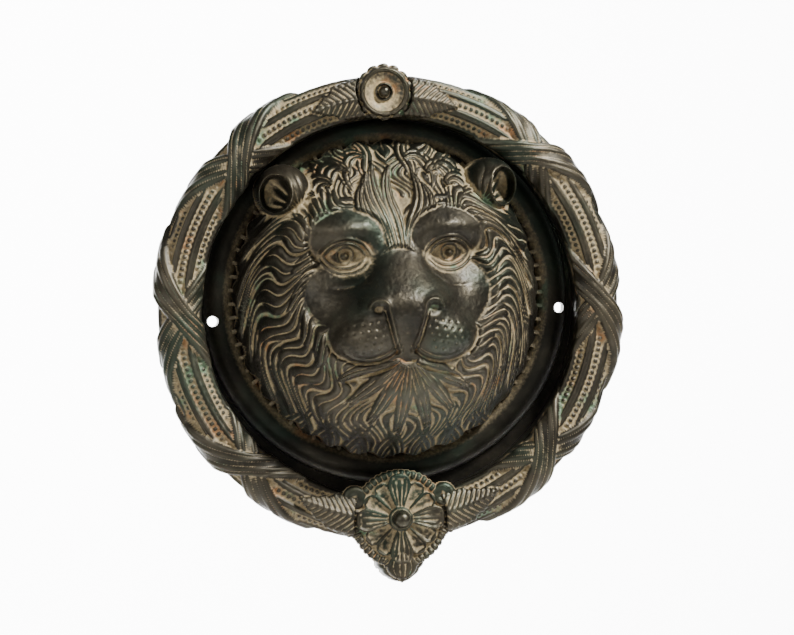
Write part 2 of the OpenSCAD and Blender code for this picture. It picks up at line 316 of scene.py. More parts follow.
def patina(name, dust_amount=1.0, dust=(0.245, 0.19, 0.098), green_amount=0.5, shine=0.44, relief=True, plate=False):
    """Old bronze: near-black satin metal, tan dust where it is hollow, and thin green and rust films.

    With relief the mesh says where it is hollow and where it is rubbed; on the ears that field also holds painted
    shade, and on the rosette painted light and shade. The plate's metal is darkened as painted shade for the ring's
    shadow on it, and the plate has dust of its own.
    """
    made = bpy.data.materials.new(name)
    made.use_nodes = True
    tree = made.node_tree
    tree.nodes.clear()
    place = node(tree, "ShaderNodeTexCoord").outputs["Object"]
    blotch = noise(tree, place, 45.0, 5.0)
    broad = noise(tree, place, 22.0, 3.0, 3.1)
    fine = noise(tree, place, 900.0, 4.0, 1.7)
    grit = noise(tree, place, 2600.0, 2.0, 5.3)
    if relief:
        hollow = node(tree, "ShaderNodeAttribute", attribute_name="hollow").outputs["Fac"]
        crest = node(tree, "ShaderNodeAttribute", attribute_name="crest").outputs["Fac"]
    else:
        hollow = calc(tree, "MULTIPLY", broad, 0.45)
        crest = calc(tree, "MULTIPLY", blotch, 0.4)
    if plate:
        hollow = round_dust(tree, place)
        crest = calc(tree, "MULTIPLY", blotch, 0.1)
    metal = mix_colour(tree, ramp(tree, blotch, 0.35, 0.7), (0.0150, 0.0135, 0.0100), (0.043, 0.037, 0.0250))
    metal = mix_colour(tree, calc(tree, "MULTIPLY", crest, 0.45), metal, (0.090, 0.076, 0.048))
    # the plate's metal goes halfway to black: painted shade for the shadow the ring casts on the plate
    if plate:
        metal = mix_colour(tree, 0.5, metal, (0.003, 0.003, 0.002))
    # a thin grey-green film, heavier in patches
    film = calc(tree, "MULTIPLY", ramp(tree, broad, 0.47, 0.68), green_amount)
    metal = mix_colour(tree, film, metal, (0.017, 0.033, 0.022))
    dust_edge = calc(tree, "ADD", hollow, calc(tree, "MULTIPLY", calc(tree, "SUBTRACT", fine, 0.5), 0.35))
    dust_edge = calc(tree, "ADD", dust_edge, calc(tree, "MULTIPLY", calc(tree, "SUBTRACT", broad, 0.5), 0.5))
    dusty = calc(tree, "MULTIPLY", ramp(tree, dust_edge, 0.2, 0.7), dust_amount)
    tan = mix_colour(tree, ramp(tree, fine, 0.35, 0.7), tuple(c * 0.62 for c in dust), dust)
    rust = ramp(tree, noise(tree, place, 60.0, 3.0, 9.4), 0.57, 0.70)
    rust = calc(tree, "MULTIPLY", rust, 0.7)
    tan = mix_colour(tree, rust, tan, (0.27, 0.125, 0.042))
    verdigris = ramp(tree, noise(tree, place, 48.0, 4.0, 17.0), 0.56, 0.66)
    verdigris = calc(tree, "MULTIPLY", verdigris, 0.4 + 0.6 * green_amount)
    tan = mix_colour(tree, verdigris, tan, (0.038, 0.115, 0.065))
    colour = mix_colour(tree, dusty, metal, tan)
    surface = node(tree, "ShaderNodeBsdfPrincipled")
    join(tree, colour, surface.inputs["Base Color"])
    join(tree, calc(tree, "SUBTRACT", 0.92, calc(tree, "MULTIPLY", dusty, 0.85)), surface.inputs["Metallic"])
    rough = calc(tree, "ADD", calc(tree, "MULTIPLY", dusty, 0.42), calc(tree, "MULTIPLY", fine, 0.22))
    rough = calc(tree, "ADD", rough, shine - 0.1)
    join(tree, rough, surface.inputs["Roughness"])
    surface.inputs["Coat Weight"].default_value = 0.06
    surface.inputs["Coat Roughness"].default_value = 0.3
    bumps = node(tree, "ShaderNodeBump", Strength=0.65, Distance=0.0003)
    height = calc(tree, "ADD", calc(tree, "MULTIPLY", fine, 0.8), calc(tree, "MULTIPLY", grit, 0.4))
    join(tree, height, bumps.inputs["Height"])
    join(tree, bumps.outputs["Normal"], surface.inputs["Normal"])
    out = node(tree, "ShaderNodeOutputMaterial")
    join(tree, surface.outputs[0], out.inputs["Surface"])
    return made


def steel(name):
    made = bpy.data.materials.new(name)
    made.use_nodes = True
    tree = made.node_tree
    surface = tree.nodes["Principled BSDF"]
    place = node(tree, "ShaderNodeTexCoord").outputs["Object"]
    grey = mix_colour(tree, ramp(tree, noise(tree, place, 300.0), 0.35, 0.7), (0.2, 0.19, 0.18), (0.33, 0.31, 0.28))
    stain = ramp(tree, noise(tree, place, 90.0, 4.0, 2.0), 0.5, 0.7)
    join(tree, mix_colour(tree, stain, grey, (0.12, 0.07, 0.04)), surface.inputs["Base Color"])
    surface.inputs["Metallic"].default_value = 1.0
    rough = calc(tree, "MULTIPLY", noise(tree, place, 700.0), 0.3)
    join(tree, calc(tree, "ADD", rough, 0.25), surface.inputs["Roughness"])
    return made


# ---------- sculpting on a height field ----------

class Relief:
    """A height field over x and up, in millimetres, out from the door."""

    def __init__(self, half_x, low_up, high_up, pitch, floor):
        self.pitch = pitch
        self.xs = np.arange(-half_x, half_x + pitch / 2, pitch)
        self.ups = np.arange(low_up, high_up + pitch / 2, pitch)
        self.X, self.Z = np.meshgrid(self.xs, self.ups, indexing="ij")
        self.H = np.full(self.X.shape, float(floor))

    def dome(self, x, up, rx, ru, base, top, k, tilt=0.0):
        """Blends in an ellipsoid that rises from base to top, rounded over k where it meets the surface."""
        c, s = math.cos(math.radians(tilt)), math.sin(math.radians(tilt))
        a = ((self.X - x) * c + (self.Z - up) * s) / rx
        b = (-(self.X - x) * s + (self.Z - up) * c) / ru
        q = a * a + b * b
        shape = base + (top - base) * np.power(np.clip(1 - q, 0, 1), 0.5)
        shape -= np.clip(np.sqrt(q) - 1, 0, None) * 1.5 * min(rx, ru)
        self.H = blend_max(self.H, shape, k)

    def dent(self, x, up, rx, ru, depth):
        a, b = (self.X - x) / rx, (self.Z - up) / ru
        self.H -= depth * np.exp(-(a * a + b * b))

    def window(self, path, margin):
        """The part of the grid within margin of a path's box, as two slices."""
        low, high = path.min(0) - margin, path.max(0) + margin
        i = slice(*np.searchsorted(self.xs, (low[0], high[0])))
        j = slice(*np.searchsorted(self.ups, (low[1], high[1])))
        return i, j

    def along(self, path, margin):
        """Within margin of a path: the window, the share of its length and the signed distance to its left."""
        i, j = self.window(path, margin)
        px, pz = self.X[i, j], self.Z[i, j]
        best = np.full(px.shape, 1e9)
        share = np.zeros(px.shape)
        side = np.zeros(px.shape)
        steps = np.diff(path, axis=0)
        lengths = np.hypot(steps[:, 0], steps[:, 1])
        start = np.concatenate([[0], np.cumsum(lengths)])
        for k, (p, d, size) in enumerate(zip(path[:-1], steps, lengths)):
            rx, rz = px - p[0], pz - p[1]
            t = np.clip((rx * d[0] + rz * d[1]) / (size * size), 0, 1)
            ox, oz = rx - t * d[0], rz - t * d[1]
            dist = np.hypot(ox, oz)
            near = dist < best
            best = np.where(near, dist, best)
            share = np.where(near, (start[k] + t * size) / start[-1], share)
            side = np.where(near, np.sign(d[0] * rz - d[1] * rx) * dist, side)
        return i, j, share, side

    def ridge(self, path, width, height, fade=0.12):
        """A raised line, or a groove where height is negative, that fades at its ends."""
        i, j, u, d = self.along(path, 3 * width)
        ends = ease(0, fade, u) * ease(1, 1 - fade, u)
        self.H[i, j] += height * bump(d, width) * ends

    def lock(self, path, width, rise, strands, ground, depth, lift=(0.0, 1.0)):
        """A lock of hair laid over the ground: a rounded, tapering band with strands along it.

        Lift is how far its root and its tip stand off the ground, in shares of rise.
        """
        i, j, u, d = self.along(path, width + 1)
        reach = width * (0.45 + 0.55 * ease(0, 0.45, u)) * np.power(np.clip(1 - u ** 3, 0, 1), 0.6)
        v = d / np.maximum(reach, 0.05)
        inside = np.abs(v) < 1
        strand = np.abs(((v * 0.5 + 0.5) * strands) % 1.0 * 2 - 1)
        shape = ground[i, j] + rise * (lift[0] + (lift[1] - lift[0]) * u)
        shape = shape + rise * (np.sqrt(np.clip(1 - v * v, 0, 1)) - 0.6)
        shape = shape - depth * strand ** 3
        self.H[i, j] = np.where(inside, np.maximum(self.H[i, j], shape), self.H[i, j])


def curl(x, up, heading, length, first, second):
    """A path that turns by first degrees over its first half and by second over the rest."""
    count = 18
    share = np.linspace(0, 1, count)
    turn = np.where(share < 0.5, first * share * 2, first + second * (share - 0.5) * 2)
    angle = np.radians(heading + turn)
    step = length / (count - 1)
    px = x + np.concatenate([[0], np.cumsum(np.cos(angle[:-1]) * step)])
    pz = up + np.concatenate([[0], np.cumsum(np.sin(angle[:-1]) * step)])
    return np.stack([px, pz], 1)


def arc(x, up, rx, ru, start, end, count=24, tilt=0.0):
    """Part of an ellipse."""
    a = np.radians(np.linspace(start, end, count))
    c, s = math.cos(math.radians(tilt)), math.sin(math.radians(tilt))
    ex, eu = rx * np.cos(a), ru * np.sin(a)
    return np.stack([x + ex * c - eu * s, up + ex * s + eu * c], 1)


def to_side(side):
    """Puts a path made for the right-hand side (1) on that side or on the left (-1)."""
    return lambda path: path * np.array([side, 1])


# ---------- lion mask ----------

# Half sections of the bare head: each row is a height with its (distance from the middle, out from the door).
HEAD_SECTIONS = (
    (72, ((0, 4),)),
    (64, ((0, 15), (12, 14.5), (20, 12), (28, 6), (31, 4))),
    (56, ((0, 25), (10, 25), (20, 23), (30, 17), (37, 8), (40, 4))),
    (48, ((0, 31), (10, 32), (20, 31), (30, 27), (38, 20), (46, 9), (49, 4))),
    (38, ((0, 38), (8, 40), (16, 42), (26, 41), (34, 36), (42, 29), (50, 18), (56, 8), (58, 4))),
    (30, ((0, 42), (6, 44), (12, 48.5), (22, 50.5), (30, 47), (37, 41), (45, 34), (53, 24), (60, 11), (63, 4))),
    (24, ((0, 44.5), (5, 45.5), (9, 47), (15, 46), (23, 47.5), (31, 43.5), (38, 38), (46, 32), (54, 23), (61, 11),
          (65, 4))),
    (18, ((0, 49), (6, 48.5), (10, 45), (14, 39.5), (22, 39), (31, 35.5), (38, 36), (46, 31), (54, 23), (61, 11),
          (66, 4))),
    (12, ((0, 55), (7, 54), (12, 50), (17, 43.5), (23, 40.5), (30, 40), (38, 38.5), (46, 33), (54, 24), (61.5, 11),
          (67, 4))),
    (6, ((0, 60.5), (8, 59.5), (14, 56), (19.5, 48.5), (26, 43.5), (33, 42), (40, 38.5), (47, 32), (55, 23), (62, 11),
         (67.5, 4))),
    (0, ((0, 65), (9, 64.3), (15, 61), (20, 54.5), (25, 47.5), (32, 44), (40, 38.5), (48, 31), (55.5, 22),
         (62.5, 11), (68, 4))),
    (-6, ((0, 65.5), (8, 65), (15, 62), (20.5, 57), (26, 50.5), (33, 44), (41, 37), (49, 29.5), (56, 21),
          (62.5, 11), (68, 4))),
    (-12, ((0, 62), (6, 63), (14, 63), (22, 59), (28, 53), (34, 45), (42, 36), (50, 28), (56, 20), (62.5, 11),
           (67.5, 4))),
    (-18, ((0, 59.5), (7, 61), (15, 61.5), (24, 57.5), (30, 51), (35, 43.5), (43, 34.5), (50, 27), (56, 19),
           (61.5, 11), (66, 4))),
    (-24, ((0, 56.5), (8, 57.5), (16, 56.5), (24, 52), (30, 46), (36, 40), (43, 33), (50, 25.5), (56, 16.5),
           (61, 9), (64, 4))),
    (-30, ((0, 55.5), (7, 54.5), (15, 51), (23, 47), (31, 42), (38, 36), (45, 30), (51, 22), (57, 13), (61, 4))),
    (-38, ((0, 53), (8, 51.5), (16, 47.5), (24, 43), (32, 37.5), (40, 30.5), (47, 22.5), (54, 12), (57, 4))),
    (-48, ((0, 44.5), (10, 43), (20, 38.5), (30, 32), (38, 24), (46, 13), (49, 4))),
    (-58, ((0, 31.5), (10, 30), (20, 26), (28, 19), (36, 9), (39, 4))),
    (-65, ((0, 18), (8, 16.5), (16, 12), (23, 6), (25, 4))),
    (-72, ((0, 4),)),
)


def head_surface(m):
    """The bare head between its sections, over a steep rim that stands on the plate."""
    heights = np.array([row[0] for row in HEAD_SECTIONS][::-1], float)
    side = np.abs(m.xs)
    rows = np.array([np.interp(side, *zip(*row[1])) for row in HEAD_SECTIONS][::-1])
    column = np.array([np.interp(m.ups, heights, rows[:, i]) for i in range(len(m.xs))])
    column = blur(column, 2.3 / m.pitch)
    rim = np.hypot(m.X, m.Z * 0.985) / (MASK_R + 2.5)
    return np.maximum(column, PLATE_T + 16 * np.sqrt(np.clip(1 - rim ** 8, 0, 1)))


def strands(v, count):
    """Round strands side by side over -1..1, with a narrow valley between them."""
    return np.abs(np.sin(np.pi * count * (v + 1) / 2)) ** 0.55


def hair_flow(m):
    """The angle at which the hair through each point leaves the face: it arches up, then hangs down."""
    radius = np.hypot(m.X, m.Z * 0.97)
    angle = np.degrees(np.arctan2(np.abs(m.X), m.Z))
    side = (m.X > 0).astype(int)
    along = radius - 27
    hang = 0.048 * along ** 2 - 1.15 * along
    w = angle - hang * ease(8, 62, angle) * ease(182, 125, angle)
    drift = value_noise(w * 0.5 + 60 * side, radius * 0.1, 12.0, 5)
    w = w + (3.2 + 120 / np.maximum(radius, 20)) * np.sin(2 * np.pi * along / 22 + 2.4 * drift + side)
    return radius, angle, side, w


def mane_tier(m, flow, ground, start, tip, cell, rise, seed, top, bottom):
    """One ring of overlapping locks along the flow. It fades out towards the top and bottom angles."""
    rng = np.random.default_rng(seed)
    radius, angle, side, w = flow
    w = w / cell + 0.37 * seed
    index = np.floor(w).astype(int)
    v = (w - index) * 2 - 1
    table = rng.uniform(0, 1, (2, 97, 4))
    pick = table[side, index % 97]
    begin = start + 3.0 * (pick[..., 3] - 0.5)
    end = tip + 6.0 * (pick[..., 0] - 0.5) - 5.0 * np.abs(v - 0.6 * (pick[..., 1] - 0.5)) ** 1.5
    t = (radius - begin) / (end - begin)
    inside = (t > 0) & (t < 1)
    shape = rise * (0.25 + 0.85 * t) * (0.45 + 0.55 * np.sqrt(np.clip(1 - v * v, 0, 1)))
    shape = shape * np.power(np.clip(1 - np.clip(t, 0, 1) ** 5, 0, 1), 0.5)
    relief = 1.7 * strands(v, np.where(pick[..., 2] > 0.7, 4, 3)) * ease(0, 0.1, t) * ease(1.02, 0.8, t)
    share = ease(top - 8, top + 8, angle) * ease(bottom + 8, bottom - 8, angle)
    height = ground + (shape + relief - 0.2) * share - 0.8
    m.H = np.where(inside, np.maximum(m.H, height), m.H)


def mane(m, ground):
    """Three rings of locks, the outermost first."""
    flow = hair_flow(m)
    mane_tier(m, flow, ground - 0.8, 40, 66.5, 13.0, 3.2, 5, -20, 200)
    mane_tier(m, flow, ground, 33, 58, 15.0, 4.4, 21, 28, 150)
    mane_tier(m, flow, ground + 0.4, 25, 48, 18.5, 4.6, 34, 44, 134)


def forelock(m, ground):
    """Wavy strands that rise between the brows and fan out, with curls on both sides of them."""
    for side in (-1, 1):
        flip = to_side(side)
        for x, up, heading, length, first, second in (
                (40, 33, 62, 20, 66, 100), (33, 40, 74, 18, 60, 120), (30, 51, 100, 15, 60, 90),
                (26, 44, 70, 21, 60, 130), (20, 54, 86, 15, -70, 40), (17, 46, 66, 23, 50, 120),
                (11, 56, 74, 14, -60, 60), (9, 49, 70, 20, 46, -110)):
            path = flip(curl(x, up, heading + 5 * side, length, first, second))
            m.lock(path, 4.6, 3.2, 3, ground, depth=1.4, lift=(0.2, 1.1))
        for spread, rise in ((3.0, 1.4), (0.0, 1.2)):
            path = arc(21.5, 24.5, 18.0 + spread, 14.4 + spread, 196, 36, count=26, tilt=-12)
            m.lock(flip(path), 1.7, rise, 1, ground, depth=0.8, lift=(0.6, 1.0))
    for x, heading, first, second, length in (
            (-5.8, 100, 24, -76, 34), (5.8, 80, -26, 80, 34), (-3.5, 96, 24, -60, 38), (3.5, 84, -22, 62, 38),
            (1.2, 88, 20, -50, 40), (-1.2, 93, 20, -44, 42)):
        m.lock(curl(x, 17, heading, length, first, second), 3.7, 2.4, 3, ground, depth=1.2, lift=(0.4, 1.5))


def beard(m, ground):
    """Strands that spread from under the mouth, over a row of S-shaped locks at the rim."""
    for k, x in enumerate(np.arange(-36, 37, 6.0)):
        up = -40 - 9 * math.cos(math.radians(x * 2.1))
        path = curl(x, up, 270 + x * 0.5, 25, 48 if k % 2 else -44, -84 if k % 2 else 80)
        m.lock(path, 4.4, 3.0, 3, ground, depth=1.4)
    for k, heading in enumerate(np.linspace(200, 340, 13)):
        a = math.radians(heading)
        bend = 16 if k % 2 else -14
        length = 29 - 4 * abs(math.cos(a))
        path = curl(1 + 5 * math.cos(a), -25.5 + 3 * math.sin(a), heading, length, bend, -bend * 2)
        m.lock(path, 3.9, 2.6, 3, ground, depth=1.4, lift=(0.5, 1.2))


def face_share(m):
    """1 on the bare face, 0 in the hair."""
    X = np.abs(m.X)
    brow = ease(1.12, 0.9, np.hypot((X - 21) / 16.5, (m.Z - 25) / 13.0))
    cheek = ease(1.15, 0.85, np.hypot((X - 24) / 17, (m.Z - 2) / 16))
    nose = ease(1.1, 0.95, np.hypot(X / 17, (m.Z - 2) / 19))
    pads = ease(1.12, 0.95, np.hypot((X - 15) / 17, (m.Z + 15) / 12))
    return np.maximum(np.maximum(brow, cheek), np.maximum(nose, pads))


def eyes(m):
    """Almond eyeballs with double lids, a ringed iris and a fold beside the nose."""
    for side in (-1, 1):
        x, up = side * 22.0, 18.4
        flip = to_side(side)
        m.dome(x, up, 7.8, 5.0, 33, 42.6, k=0.7, tilt=side * 6)
        for spread, height in ((0.0, 1.8), (2.0, 1.0)):
            m.ridge(flip(arc(22.0, 15.4, 9.0 + spread, 8.0 + spread, 12, 166, tilt=5)), 0.6, height)
        for spread, height in ((0.0, 1.5), (2.2, 0.9)):
            m.ridge(flip(arc(22.0, 20.6, 9.0 + spread * 0.8, 7.4 + spread, 196, 346, tilt=5)), 0.6, height)
        ring = np.hypot(m.X - x, m.Z - up)
        m.H += 1.0 * bump(ring - 3.5, 0.5) - 0.9 * bump(ring - 2.2, 0.7) + 1.3 * bump(ring, 0.9)
        # a soft fold from the inner corner down beside the nose
        m.ridge(flip(arc(25.0, 16.0, 13.5, 11.5, 186, 300)), 0.9, -0.7, fade=0.35)


def snout(m):
    """Nose leather, nostrils, mouth and whisker pads."""
    for side in (-1, 1):
        flip = to_side(side)
        m.dome(side * 15.0, -15.5, 15.5, 11.0, 44, 63.0, k=3.5, tilt=-side * 12)
        m.dome(side * 11.0, -2.5, 9.5, 7.0, 44, 64.3, k=4.0)
        # the nostril is a pit under a curl that runs on down the lip
        m.dent(side * 11.6, -4.0, 2.6, 2.0, 3.6)
        lip = [[6.6, -8.5], [4.8, -15.0], [2.0, -23.0]]
        hook = np.concatenate([arc(11.4, -3.6, 3.9, 3.3, -20, 195, count=18), lip])
        m.ridge(flip(hook), 0.6, 1.3, fade=0.04)
        m.ridge(flip(hook[16:] + np.array([1.5, -0.3])), 0.55, -1.0, fade=0.04)
        # the pads' lower edges and the lips under them
        m.ridge(flip(arc(14.5, -14.5, 12.5, 9.8, 205, 350, tilt=-14)), 0.5, -0.7)
        m.ridge(flip(arc(14.5, -14.5, 14.8, 12.0, 215, 350, tilt=-14)), 0.6, -1.2)
        mouth = np.array([[0.4, -24.0], [5, -27.6], [12, -30.4], [20, -32.4], [28, -35.4]])
        m.ridge(flip(mouth), 0.8, -2.4, fade=0.3)
        for row in range(5):
            for k in range(6):
                m.dent(side * (8.5 + 3.2 * k + 0.8 * row), -8.5 - 3.0 * row - 0.6 * k, 0.6, 0.6, 0.6)
    m.dent(0, -14, 2.4, 8, 1.0)


def ears(m):
    """Round cups that open to the sides, half sunk in the hair. They reach out over the moulding."""
    for side in (-1, 1):
        x, up, r = side * 44, 46.5, 11.5
        q = np.hypot(m.X - x, m.Z - up) / r
        cup = 19 + 16.5 * np.sqrt(np.clip(1 - q * q, 0, 1))
        pit = np.hypot((m.X - side * 48.5) / 6.0, (m.Z - up + 1) / 8.0)
        cup = cup - 15 * np.power(np.clip(1 - pit ** 2, 0, 1), 0.7) + 1.1 * bump(pit - 1.1, 0.14)
        fan = np.degrees(np.arctan2(m.Z - up + 9, m.X * side - 37))
        fur = strands((fan / 16 + 0.15 * np.sin(m.Z * 0.5)) % 2 - 1, 2)
        cup = cup + (0.9 + 2.6 * ease(1.0, 0.5, pit)) * fur * ease(52.5, 43, side * m.X) * (q < 0.95)
        m.H = np.where(q < 1, np.maximum(m.H, cup), m.H)


def make_mask():
    """The whole mask: the bare head, its hair outside the face, then the features and the ears."""
    m = Relief(69, -71, 72, 0.36, PLATE_T - 3)
    bare = head_surface(m)
    m.H = bare.copy()
    mane(m, bare)
    forelock(m, bare)
    beard(m, bare)
    hair = m.H - bare
    face = face_share(m)
    hair *= 1 - face
    m.H = bare + hair
    eyes(m)
    snout(m)
    m.H += 0.10 * value_noise(m.X, m.Z, 1.1, 3) + 0.14 * value_noise(m.X, m.Z, 2.9, 4)
    around = np.arctan2(m.Z, m.X)
    rim = MASK_R + 1.2 + 1.6 * np.abs(np.sin(around)) + 1.1 * np.sin(around * 31 + 2 * np.sin(3 * around))
    # locks end at a wavy rim, and everything beyond it is left to the plate
    m.H = np.where(np.hypot(m.X, m.Z) > rim, PLATE_T, np.maximum(m.H, PLATE_T))
    ears(m)
    m.H = np.minimum(m.H, NOSE_OUT)
    hollow, crest = relief_fields(m.H, (m.pitch, m.pitch))
    # the bare face and the mouth are rubbed clean, and the ears get less dust so that their cups stay dark as painted
    # shade; dust lies about the eyes and in the hair's valleys
    socket = np.exp(-((np.abs(m.X) - 20) / 10.5) ** 4 - ((m.Z - 16.5) / 7.5) ** 4)
    # where the ears' cups are kept dark, as painted shade
    ear_shade = np.exp(-((np.abs(m.X) - 48) / 7) ** 4 - ((m.Z - 46) / 9) ** 4)
    mouth = np.exp(-(m.X / 4) ** 2 - ((m.Z + 25) / 3) ** 2)
    hollow = np.clip(hollow * (1 - 0.45 * face) + 0.30 * socket - 0.30 * ear_shade
                     + 0.05 * (1 - face) - 0.4 * mouth, 0, 1)
    # over the moulding the mask's underside stays inside the metal
    base = np.where(np.hypot(m.X, m.Z) > MASK_R + 0.5, PLATE_T + 1.0, PLATE_T)
    return relief_solid("lion_mask_sculpt", m.xs, m.ups, m.H, base, {"hollow": hollow, "crest": crest})


# ---------- ring ----------

# the flutes' places round the ring's section, and the ribbons' crossings round the ring, in degrees
FLUTES = (-38, 10, 55)
CROSSINGS = (0, 45, 135, 180, 225, 315)
BEAD_STEP = 2.5


def ring_grid(turns, rows):
    """Angles round the ring, and its front section as arc length, position and outward normal."""
    crown_r = RING_W * 0.54
    centre_out = RING_BACK + RING_DEPTH - crown_r
    half = RING_W / 2
    edge = math.asin(half / crown_r)
    wall = centre_out + crown_r * math.cos(edge) - RING_BACK
    reach = crown_r * edge
    s = np.linspace(-reach - wall, reach + wall, rows)
    theta = np.clip(s / crown_r, -edge, edge)
    over = np.clip(np.abs(s) - reach, 0, None)
    w = crown_r * np.sin(theta)
    out = centre_out + crown_r * np.cos(theta) - over
    flat = np.abs(s) > reach
    nw = np.where(flat, np.sign(s), np.sin(theta))
    no = np.where(flat, 0, np.cos(theta))
    return np.arange(turns) * 2 * math.pi / turns, s, w, out, nw, no, crown_r


def leaf_relief(u, s, start, length, width, rise):
    """A husk leaf that lies along the ring from start, with a rib, veins and a fringed edge. Far below beside it."""
    t = (u - start) / length
    span = width * np.clip(1 - np.clip(t, 0, 1) ** 1.7, 0, 1) * (0.86 + 0.14 * np.abs(np.cos(np.pi * 6 * t)))
    v = s / np.maximum(span, 0.05)
    inside = (t > 0) & (t < 1) & (np.abs(v) < 1)
    veins = np.abs(np.sin(np.pi * (u - 0.9 * np.abs(s)) / 2.6)) ** 0.6
    body = rise * (0.5 + 0.5 * np.sqrt(np.clip(1 - v * v, 0, 1))) * (1 - 0.3 * np.clip(t, 0, 1))
    body = body + 0.7 * veins - 0.6 + 0.8 * bump(s, 0.8)
    return np.where(inside, body, -9)


def make_ring():
    """The ring with its flutes, beads, crossed ribbons and husk leaves."""
    turns, rows = 1344, 76
    a, s, w, out, nw, no, crown_r = ring_grid(turns, rows)
    A, S = np.meshgrid(a, s, indexing="ij")
    U = A * RING_MID_R
    base = 0.12 * value_noise(U, S, 3.3, 21) + 0.06 * value_noise(U, S, 1.2, 22)
    relief = base.copy()
    for tilt in FLUTES:
        off = S - crown_r * math.radians(tilt)
        radius = RING_MID_R + crown_r * math.sin(math.radians(tilt))
        groove = -1.7 * np.power(np.clip(1 - (off / 2.6) ** 2, 0, 1), 0.6)
        beads = round(2 * math.pi * radius / BEAD_STEP)
        step = np.abs((A * beads / (2 * math.pi)) % 1.0 - 0.5) * 2 * math.pi * radius / beads
        dot = 1.15 * np.sqrt(np.clip(1 - (off / 1.25) ** 2 - (step / 1.05) ** 2, 0, 1))
        relief = relief + groove + dot * (groove < -0.3)
        relief = relief + 0.35 * bump(np.abs(off) - 3.0, 0.45)
    for degrees in CROSSINGS:
        u = ((A - math.radians(degrees) + math.pi) % (2 * math.pi) - math.pi) * RING_MID_R
        for way, rise in ((-1, 1.5), (1, 2.3)):
            slope = math.radians(36)
            across = S * math.cos(slope) + way * u * math.sin(slope)
            along = -way * u * math.cos(slope) + S * math.sin(slope)
            half = 4.6 + 0.10 * np.abs(along)
            v = across / half
            body = rise * np.power(np.clip(1 - v ** 6, 0, 1), 0.4)
            pleats = 0.55 * strands(np.clip(v, -1, 1), 5) - 0.35
            body = body + pleats - 0.5 * bump(v, 0.16)
            relief = np.where(np.abs(v) < 1, np.maximum(relief, body + 0.4 * base), relief)
    for centre, start, length, width, rise in ((90, 11, 21, 8.6, 1.9), (270, 15, 30, 10.5, 2.0)):
        u = ((A - math.radians(centre) + math.pi) % (2 * math.pi) - math.pi) * RING_MID_R
        middle = leaf_relief(np.abs(u), S, start, length, width, rise)
        beside = leaf_relief(np.abs(u), np.abs(S) - 6.5, start - 2, length * 0.62, 4.0, rise * 0.7)
        relief = np.maximum(np.maximum(relief, middle), beside)
    # the rear edges stay plain, the inner wall keeps its gap to the moulding, and the ribbons stand out outside
    fade = ease(RING_BACK + 2.5, RING_BACK + 4.5, out)[None, :]
    inner = np.where(no == 0, 0.2, ease(-RING_W / 2, -RING_W / 2 + 1.5, w) * 0.8 + 0.2)
    outer = 1 + 0.35 * ease(2, RING_W / 2, w)
    share = np.where(w < 0, inner, outer)[None, :]
    relief = np.where(relief > 0, relief * share, relief) * fade
    hollow, crest = relief_fields(relief, (2 * math.pi * RING_MID_R / turns, s[1] - s[0]), (True, False))
    R = RING_MID_R + w[None, :] + nw[None, :] * relief
    O = out[None, :] + no[None, :] * relief
    X, Z = R * np.cos(A), R * np.sin(A) + RING_UP
    # flat seats for the rosette and the flower
    seat = np.minimum(np.hypot(X, Z - ROSETTE_UP) - ROSETTE_SEAT_R, np.hypot(X, Z - FLOWER_UP) - FLOWER_SEAT_R)
    O = np.where(seat < 0, np.minimum(O, SEAT_OUT), O)
    # the back: two plain lands and a channel, which stops at the head and the foot
    lightened = ease(16.6, 17.4, np.degrees(np.arccos(np.abs(np.sin(a)))))
    half, channel = RING_W / 2, RING_W / 4
    back_w = np.array([half - 0.6, channel + 0.6, channel, channel - 0.3,
                       -channel + 0.3, -channel, -channel - 0.6, -half + 0.6])
    deep = np.array([0, 0, 0.05, 1, 1, 0.05, 0, 0]) * RING_DEPTH / 2
    back_grid = (turns, len(back_w))
    RB = RING_MID_R + np.broadcast_to(back_w, back_grid)
    OB = RING_BACK + lightened[:, None] * deep[None, :]
    AB = np.broadcast_to(a[:, None], back_grid)
    points = np.concatenate([np.stack([X, Z, O], -1),
                             np.stack([RB * np.cos(AB), RB * np.sin(AB) + RING_UP, OB], -1)], 1)
    plain = np.full(back_grid, 0.1)
    return loop_solid("wreath_ring_sculpt", points[:, ::-1], {
        "hollow": np.concatenate([hollow, plain], 1)[:, ::-1], "crest": np.concatenate([crest, plain], 1)[:, ::-1]})


def make_lug():
    """The hinge knuckle behind the ring's head, on a web up to the ring."""
    pin_r, knuckle_r, half = 2.3, 4.5, 6.0
    count = 48
    points = np.zeros((count, 4, 3))
    for i in range(count):
        a = 2 * math.pi * i / count
        c, s = math.cos(a), math.sin(a)
        # towards the ring the knuckle is square, as its web
        reach = knuckle_r if c <= 0 else min(knuckle_r / max(abs(s), 1e-6), (RING_BACK + 0.5 - HINGE_OUT) / c)
        for j, (r, x) in enumerate(((pin_r, -half), (reach, -half), (reach, half), (pin_r, half))):
            points[i, j] = (x, HINGE_UP + r * s, HINGE_OUT + r * c)
    flat = np.full((count, 4), 0.3)
    return loop_solid("hinge_lug", points[:, ::-1], {"hollow": flat, "crest": flat})


# ---------- rosette and flower ----------

